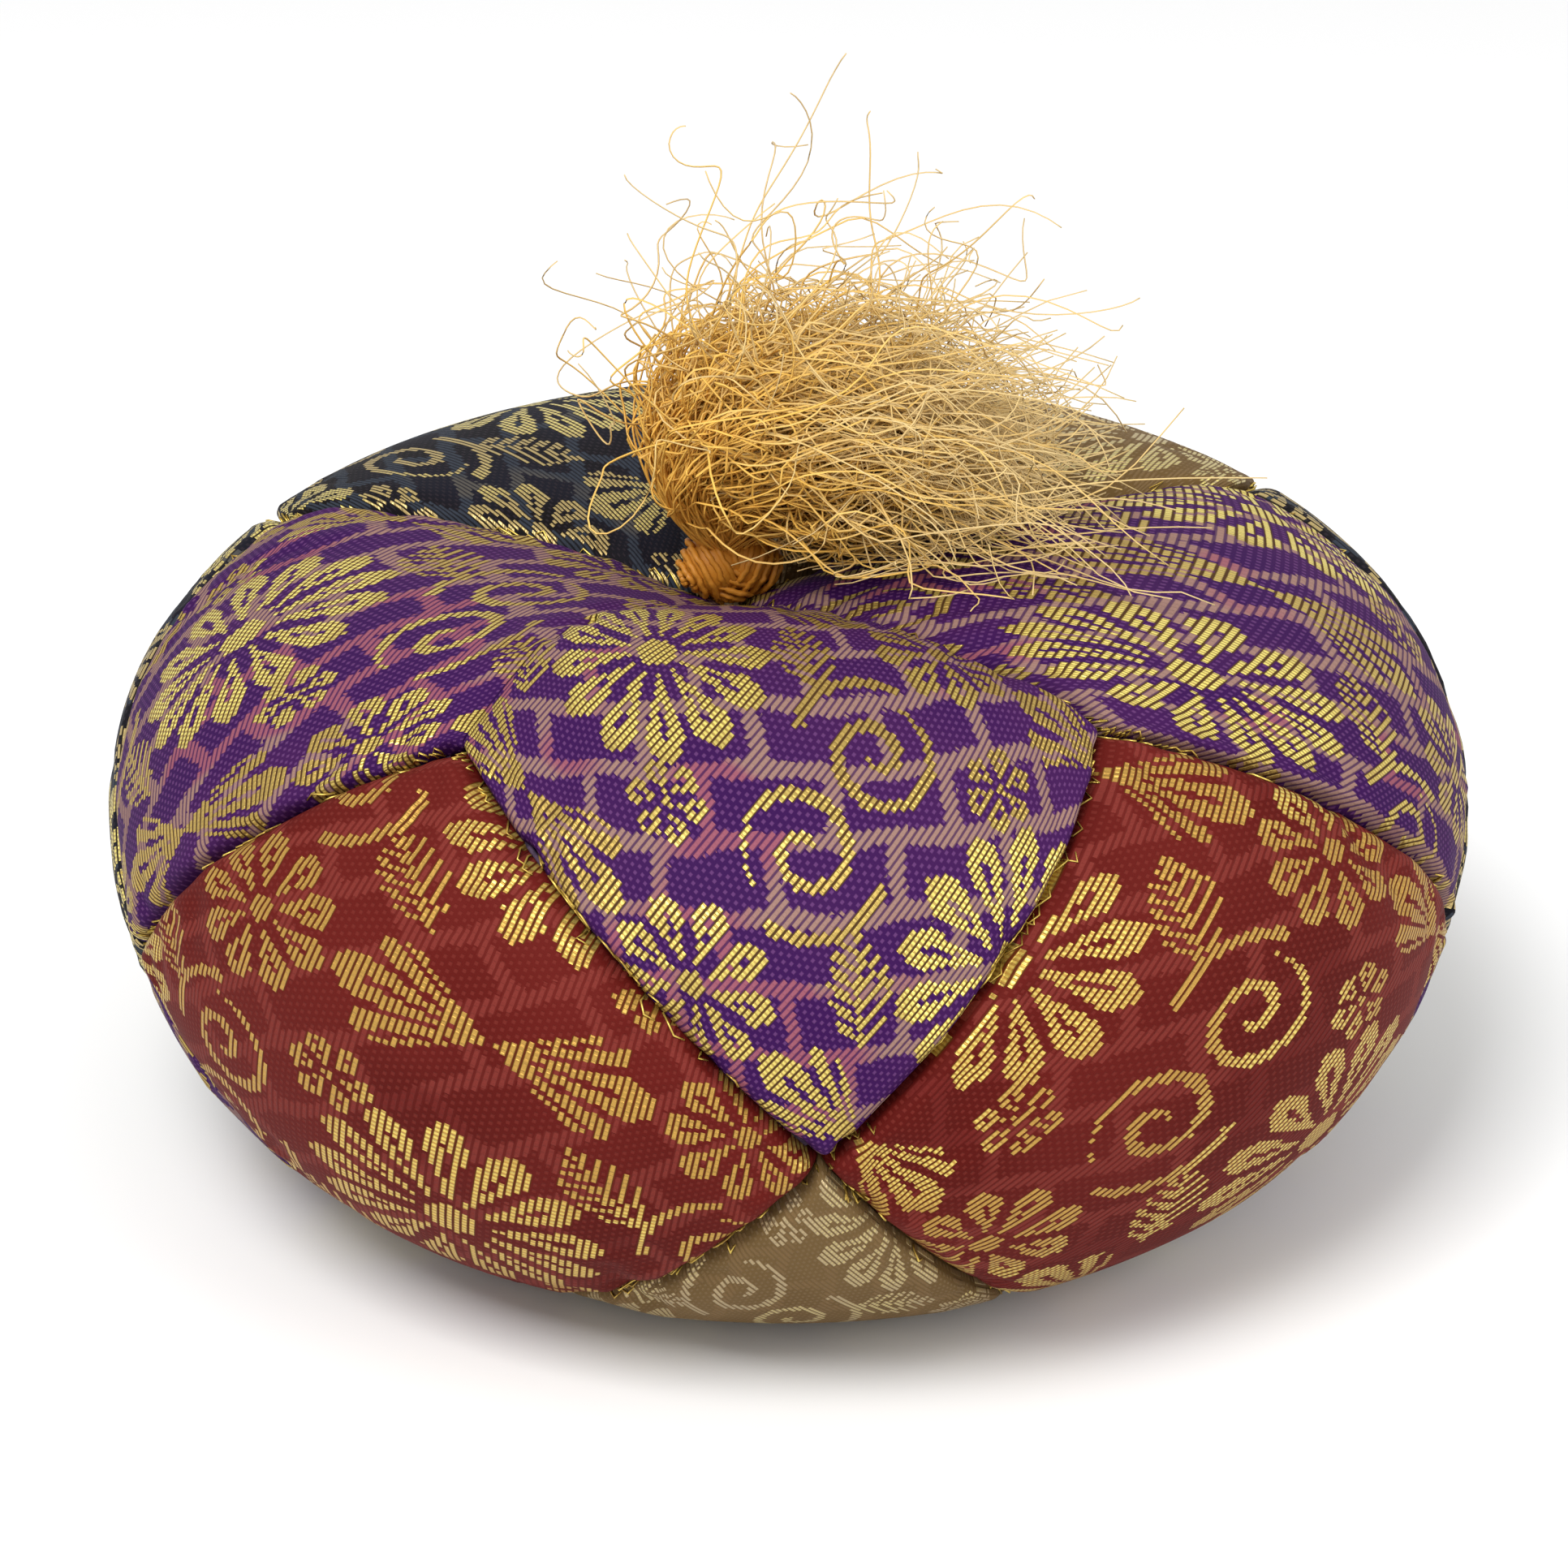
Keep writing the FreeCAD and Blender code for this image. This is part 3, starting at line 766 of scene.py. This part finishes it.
def make_patches():
    tree = cad_tree()
    grids = {name: grid_points(name, tree) for name in PATCHES}
    sims = inflate(grids)
    wadding(sims)
    finished = {}
    looks = {slot: brocade(slot) for slot in CLOTHS}
    slots = {part["node"]: part["material_slot"] for part in frame["record"]["subparts"]}
    for number, name in enumerate(PATCHES):
        grid, s, t = finished_grid(sims[name], number + 1, FLAT_SIDES.get(name))
        finished[name] = grid
        mesh = closed_patch(f"{name}_cloth", grid)
        gap = np.minimum(np.minimum(s, SIDE_MM - s), np.minimum(t, SIDE_MM - t))
        along, across = bolt_coordinates(number, name, s, t)
        cloth = np.stack([along, across, gap], axis=-1).reshape(-1, 3)
        attribute(mesh, "cloth", np.concatenate([cloth, cloth]))
        piece = add_piece(f"{name}_cloth", mesh, "cushion", looks[slots[name]])
        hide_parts(name)
    make_frays(finished)
    sewing = fibrous("sewing_thread_look", srgb(44, 30, 52), srgb(78, 58, 84), 2400.0)
    for node in SEAM_THREADS:
        dress(node, sewing)
    tying = fibrous("tie_thread_look", srgb(168, 150, 118), srgb(210, 196, 164), 2400.0)
    for node in ("tie_thread", "base_knot"):
        dress(node, tying)


# ---- the tassel -------------------------------------------------------------------------------------

TILT_AXIS = next(j["axis"] for j in frame["record"]["behaviour"]["joints"] if j["name"] == "tassel_tilt")
LEAN = math.atan2(TILT_AXIS[0], -TILT_AXIS[1])
STRANDS = 860  # in each of the bundle's two layers
STRAND_POINTS, STRAY_POINTS = 38, 70
STRAND_R = 0.09
ALONG = np.array([math.cos(LEAN), math.sin(LEAN), 0])
ASIDE = np.array([-math.sin(LEAN), math.cos(LEAN), 0])


def bezier(controls, at):
    """Points on curves of five controls each: controls (n, 5, 3), at (m,) gives (n, m, 3)."""
    weights = np.stack([math.comb(4, k) * at**k * (1 - at) ** (4 - k) for k in range(5)], axis=-1)
    return np.einsum("mk,nkc->nmc", weights, controls)


# The waves along a strand: each one's length as a share of the strand, and its size in mm.
CRINKLES = ((0.62, 1.5), (0.34, 1.15), (0.19, 0.5))


def crinkle(count, at, rng, curl=1.0):
    """The wave left in floss that was once twisted: sideways moves that grow towards the tips, mm."""
    moves = np.zeros((count, len(at), 3))
    for pitch, size in CRINKLES:
        phase = rng.uniform(0, 2 * math.pi, (count, 1, 3))
        rate = pitch * rng.uniform(0.75, 1.5, (count, 1, 3))
        strength = curl * size * rng.uniform(0.2, 1.3, (count, 1, 3))
        moves += strength * np.sin(2 * math.pi * at[None, :, None] / rate + phase)
    return moves * smooth(at, 0.12, 0.7)[None, :, None]


def to_row_frame(local):
    """Tassel coordinates (along the lean, aside, up from the pivot) as row coordinates, mm."""
    return PIVOT + local[..., :1] * ALONG + local[..., 1:2] * ASIDE + local[..., 2:] * np.array([0, 0, 1])


def bundle(count, rng, most=1.0):
    """Controls of the floss that rolls out leftwards from the neck, over, and away to the right."""
    spin = rng.uniform(0, 2 * math.pi, count)
    out = np.sqrt(rng.uniform(0, 1, count))
    fan = rng.normal(0, 1, count)
    high = rng.uniform(0, 1, count)
    reach = rng.uniform(0.45, 0.88, count) * most
    flare = 0.8 + 1.6 * out
    steps = (
        (out * np.cos(spin), out * np.sin(spin), np.full(count, -3.0)),
        (1.4 - 6.6 * high + flare * np.cos(spin), flare * np.sin(spin) * 1.6, 2.2 * high - 0.8),
        (6.0 - 13.5 * high, fan * 3.2, 1.2 + 9.4 * high),
        (11.5 * reach, fan * 4.8, 1.4 + 8.8 * high),
        (23.0 * reach, fan * 5.6, 6.6 * high - 1.5),
    )
    controls = np.stack([np.stack(step, axis=1) for step in steps], axis=1)
    loose = np.array([0, 0.5, 2.0, 4.4, 3.4])[:, None]
    return controls + rng.normal(0, 1, controls.shape) * loose


# The loose strands' headings from straight up towards the tassel's lean, in radians, their spread,
# their longest reach in mm, and how many there are.
STRAYS = ((0.25, 0.35, 24.0, 60), (-0.7, 0.3, 17.0, 9), (0.95, 0.2, 27.0, 42))


def strays(rng):
    """Controls of the curly strands that stand away from the bundle."""
    groups = []
    for heading, spread, longest, count in STRAYS:
        controls = bundle(count, rng)
        way = rng.normal(heading, spread, count)
        long = longest * rng.uniform(0.45, 1.0, count) ** 1.3
        tip = np.stack([long * np.sin(way), rng.normal(0, 4.0, count), long * np.cos(way)], axis=1)
        controls[:, 4] = tip
        controls[:, 3] = tip * 0.66 + rng.normal(0, 2.2, (count, 3)) + (0.5, 0, 1.0)
        controls[:, 2] = tip * 0.34 + rng.normal(0, 1.6, (count, 3)) + (-3.0, 0, 1.5)
        groups.append(controls)
    return np.concatenate(groups)


# The cushion's height at some distances from the tie, and how far above it a strand lies, mm.
CROWN_AT = (0, 6, 14, 30, 42)
CROWN_TOP = (37.0, 39.6, 41.2, 41.0, 34.0)
LIE_GAP = 0.5


def strand_paths(controls, rng, count, curl):
    """Crinkled strands in the row frame, lifted where they would run into the cushion."""
    at = np.linspace(0, 1, count)
    paths = to_row_frame(bezier(controls, at) + crinkle(len(controls), at, rng, curl))
    away = np.hypot(paths[..., 0] - TIE[0], paths[..., 1] - TIE[1])
    lowest = np.interp(away, CROWN_AT, CROWN_TOP) + LIE_GAP
    rise = smooth(at, 0.16, 0.3)[None, :]
    low = paths[..., 2] < lowest
    paths[..., 2] = np.where(low, paths[..., 2] + (lowest - paths[..., 2]) * rise, paths[..., 2])
    return paths


def tubes(name, paths, radius, sides, tints, taper=0.55):
    """Closed tubes along paths (n, m, 3) in mm, which keep each point's share of the way and its tint."""
    n, m, _ = paths.shape
    tangent = np.gradient(paths, axis=1)
    tangent /= np.linalg.norm(tangent, axis=2, keepdims=True)
    pole = np.array([0.31, -0.2, 0.93])
    first = np.cross(tangent, pole)
    first /= np.maximum(np.linalg.norm(first, axis=2, keepdims=True), 1e-6)
    second = np.cross(tangent, first)
    turn = np.arange(sides) * 2 * math.pi / sides
    ring = first[:, :, None] * np.cos(turn)[:, None] + second[:, :, None] * np.sin(turn)[:, None]
    thin = radius * (1 - (1 - taper) * np.linspace(0, 1, m) ** 2)
    points = paths[:, :, None] + ring * thin[None, :, None, None]
    index = np.arange(n * m * sides).reshape(n, m, sides)
    nxt = np.roll(index, -1, axis=2)
    walls = np.stack([index[:, :-1], nxt[:, :-1], nxt[:, 1:], index[:, 1:]], axis=-1).reshape(-1, 4)
    caps = np.concatenate([index[:, 0, ::-1], index[:, -1]])
    faces = walls.tolist() + caps.tolist()
    mesh = bpy.data.meshes.new(name)
    mesh.from_pydata((points.reshape(-1, 3) * MM).tolist(), [], faces)
    mesh.update()
    mesh.shade_smooth()
    along = np.broadcast_to(np.linspace(0, 1, m)[None, :, None], (n, m, sides))
    tint = np.broadcast_to(np.asarray(tints)[:, None, None], (n, m, sides))
    attribute(mesh, "strand", np.stack([along, tint, 0 * tint], axis=-1).reshape(-1, 3))
    return mesh


def floss(name, root, middle, tip, fade=(0.25, 0.85)):
    """Silk floss: deep at the root, pale at the tip, each strand a little different."""
    material = bpy.data.materials.new(name)
    material.use_nodes = True
    tree = material.node_tree
    source = tree.nodes.new("ShaderNodeAttribute")
    source.attribute_name = "strand"
    split = tree.nodes.new("ShaderNodeSeparateXYZ")
    tree.links.new(source.outputs["Vector"], split.inputs[0])
    along, tint = Wire(tree, split.outputs[0]), Wire(tree, split.outputs[1])
    place = tree.nodes.new("ShaderNodeTexCoord")
    fibres = noise(tree, place.outputs["Object"], 2600.0, 2.0)
    colour = mixed(tree, along.ramp(0.05, fade[0] + 0.12), root, middle)
    colour = mixed(tree, (along + tint * 0.3).ramp(*fade), colour, tip)
    colour = mixed(tree, (tint * 0.35 + fibres * 0.5).ramp(0.3, 0.9) * 0.3, colour, srgb(170, 112, 40))
    shader = tree.nodes["Principled BSDF"]
    tree.links.new(colour, shader.inputs["Base Color"])
    tree.links.new((fibres * 0.3 + 0.32).socket, shader.inputs["Roughness"])
    shader.inputs["Specular IOR Level"].default_value = 0.3
    bump = tree.nodes.new("ShaderNodeBump")
    bump.inputs["Distance"].default_value = 0.00004
    tree.links.new(fibres.socket, bump.inputs["Height"])
    tree.links.new(bump.outputs["Normal"], shader.inputs["Normal"])
    return material


def winding(centre, radius, turns, tilt, rng):
    """A thread wound over a ball from end to end, leaning by tilt."""
    at = np.linspace(0.04, 0.96, 40 * turns)
    polar_angle = at * math.pi
    spin = at * turns * 2 * math.pi
    local = np.stack(
        [np.cos(polar_angle), np.sin(polar_angle) * np.cos(spin), np.sin(polar_angle) * np.sin(spin)], axis=1
    )
    local *= 1 + 0.05 * np.sin(at * 37 + tilt * 9)[:, None]
    local += rng.normal(0, 0.02, local.shape)
    turned = local[:, :1] * (ALONG * math.cos(tilt) + np.array([0, 0, math.sin(tilt)]))
    turned = turned + local[:, 1:2] * ASIDE
    turned = turned + local[:, 2:] * (np.array([0, 0, math.cos(tilt)]) - ALONG * math.sin(tilt))
    return centre + turned * radius


def make_tassel():
    golden_tones = srgb(238, 180, 78), srgb(232, 186, 88), srgb(216, 190, 134)
    golden = floss("floss_gold_look", *golden_tones, (0.6, 1.2))
    orange_tones = srgb(190, 124, 38), srgb(196, 132, 48), srgb(200, 144, 64)
    orange = floss("floss_orange_look", *orange_tones, (2.0, 3.0))
    rng = np.random.default_rng(11)
    layers = {
        "tassel_floss": (bundle(STRANDS, rng), STRAND_POINTS, 1.0),
        "tassel_floss_inner": (bundle(STRANDS, rng, most=0.86), STRAND_POINTS, 1.0),
        "tassel_strays": (strays(rng), STRAY_POINTS, 1.5),
    }
    for name, (controls, count, curl) in layers.items():
        paths = strand_paths(controls, rng, count, curl)
        mesh = tubes(name, paths, STRAND_R, 3, rng.uniform(0, 1, len(paths)))
        skirt = bpy.data.objects.new(name, mesh)
        bpy.context.scene.collection.objects.link(skirt)
        skirt.data.materials.append(golden)
        if name == "tassel_floss":
            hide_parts("tassel_skirt")
        if name == "tassel_strays":
            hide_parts("stray_strands")
        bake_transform(skirt)
    rng = np.random.default_rng(5)
    low, high = (np.array(corner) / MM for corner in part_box("tassel_head"))
    middle = (low + high) / 2
    lobes = ((-1.15, 0.0, 1.95, 0.5), (1.15, -0.1, 2.0, -0.4), (0.1, -0.75, 1.75, 1.2))
    for number, (side, lift, radius, tilt) in enumerate(lobes):
        centre = middle + side * ALONG + np.array([0, 0, lift])
        path = winding(centre, radius, 9, tilt, rng)[None]
        mesh = tubes(f"head_winding_{number + 1}", path, 0.2, 6, [0.4], taper=1.0)
        add_piece(f"head_winding_{number + 1}", mesh, "tassel_head", orange)
    for node in ("tassel_head", "neck_binding"):
        dress(node, orange)


make_patches()
make_tassel()


# ---- camera, floor and light ------------------------------------------------------------------------

CAMERA_ELEVATION, CAMERA_AZIMUTH, CAMERA_DISTANCE = 25.1, -2.7, 308.0
LENS, SENSOR = 111.5, 36.0
AIM_LEFT, AIM_UP = 0.3, 0.28  # the aim is this far off the cushion's waist centre, mm
FLOOR_GAP = 0.2  # mm between the floor and the rest plane, so that the flattened base doesn't share its face


def make_camera():
    up, round_ = math.radians(CAMERA_ELEVATION), math.radians(CAMERA_AZIMUTH)
    out = Vector((math.cos(up) * math.sin(round_), -math.cos(up) * math.cos(round_), math.sin(up)))
    waist = Vector((0, 0, WAIST_Z * MM))
    camera = bpy.data.objects.new("camera", bpy.data.cameras.new("camera"))
    bpy.context.scene.collection.objects.link(camera)
    camera.location = waist + out * CAMERA_DISTANCE * MM
    right = Vector((math.cos(round_), math.sin(round_), 0))
    lift = out.cross(right)
    target = waist - right * (AIM_LEFT * MM) + lift * (AIM_UP * MM)
    camera.rotation_euler = (target - camera.location).to_track_quat("-Z", "Y").to_euler()
    camera.data.lens, camera.data.sensor_width = LENS, SENSOR
    camera.data.clip_start = 0.01
    bpy.context.scene.camera = camera


def area_light(name, place, size, power, aim=(0, 0, 0.02)):
    lamp = bpy.data.lights.new(name, "AREA")
    lamp.size, lamp.energy = size, power
    light = bpy.data.objects.new(name, lamp)
    bpy.context.scene.collection.objects.link(light)
    light.location = place
    light.rotation_euler = (Vector(aim) - Vector(place)).to_track_quat("-Z", "Y").to_euler()


def make_stage():
    bpy.ops.mesh.primitive_plane_add(size=3, location=(0, 0, -FLOOR_GAP * MM))
    floor = bpy.context.object
    floor.name = "floor"
    material = bpy.data.materials.new("floor")
    material.use_nodes = True
    shader = material.node_tree.nodes["Principled BSDF"]
    shader.inputs["Base Color"].default_value = (0.86, 0.86, 0.86, 1)
    shader.inputs["Roughness"].default_value = 0.9
    floor.data.materials.append(material)
    world = bpy.data.worlds.new("studio")
    world.use_nodes = True
    world.node_tree.nodes["Background"].inputs["Color"].default_value = (1, 1, 1, 1)
    world.node_tree.nodes["Background"].inputs["Strength"].default_value = 0.75
    bpy.context.scene.world = world
    bpy.context.scene.view_settings.view_transform = "Standard"
    area_light("key", (-0.2, -0.35, 0.6), 0.3, 4.0)
    area_light("fill", (0.5, -0.3, 0.35), 0.4, 1.2)


make_camera()
make_stage()
